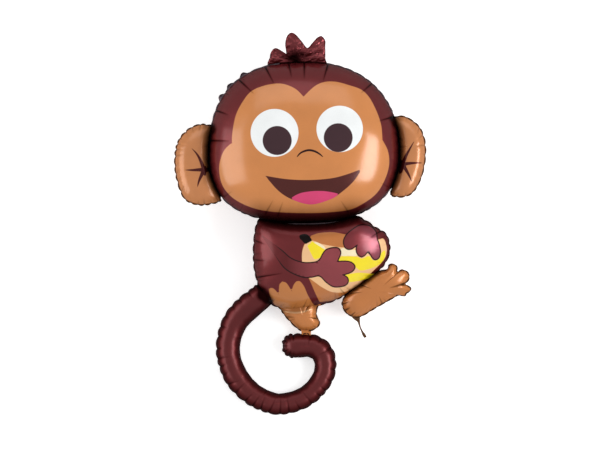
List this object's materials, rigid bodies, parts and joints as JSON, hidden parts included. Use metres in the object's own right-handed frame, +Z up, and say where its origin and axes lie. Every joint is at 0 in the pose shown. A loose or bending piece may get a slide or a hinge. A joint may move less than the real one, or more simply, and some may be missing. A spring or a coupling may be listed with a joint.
{
  "type": "shaped foil balloon",
  "caption": "Sealed foil balloon shaped as a cartoon monkey with round ears, curled tail, raised foot and flat hair tabs, lying on its back.",
  "frame": {"origin": "on the floor, under the middle of the balloon's outline", "axes": "+Y towards the top of the head, +X towards the viewer's right, +Z up out of the printed front"},
  "size_m": [0.61, 0.9264, 0.2263],
  "materials": {
    "printed_foil": "satin metallised film, printed in browns"
  },
  "bodies": {
    "root": {"foil_balloon": "printed_foil"}
  },
  "joints": []
}
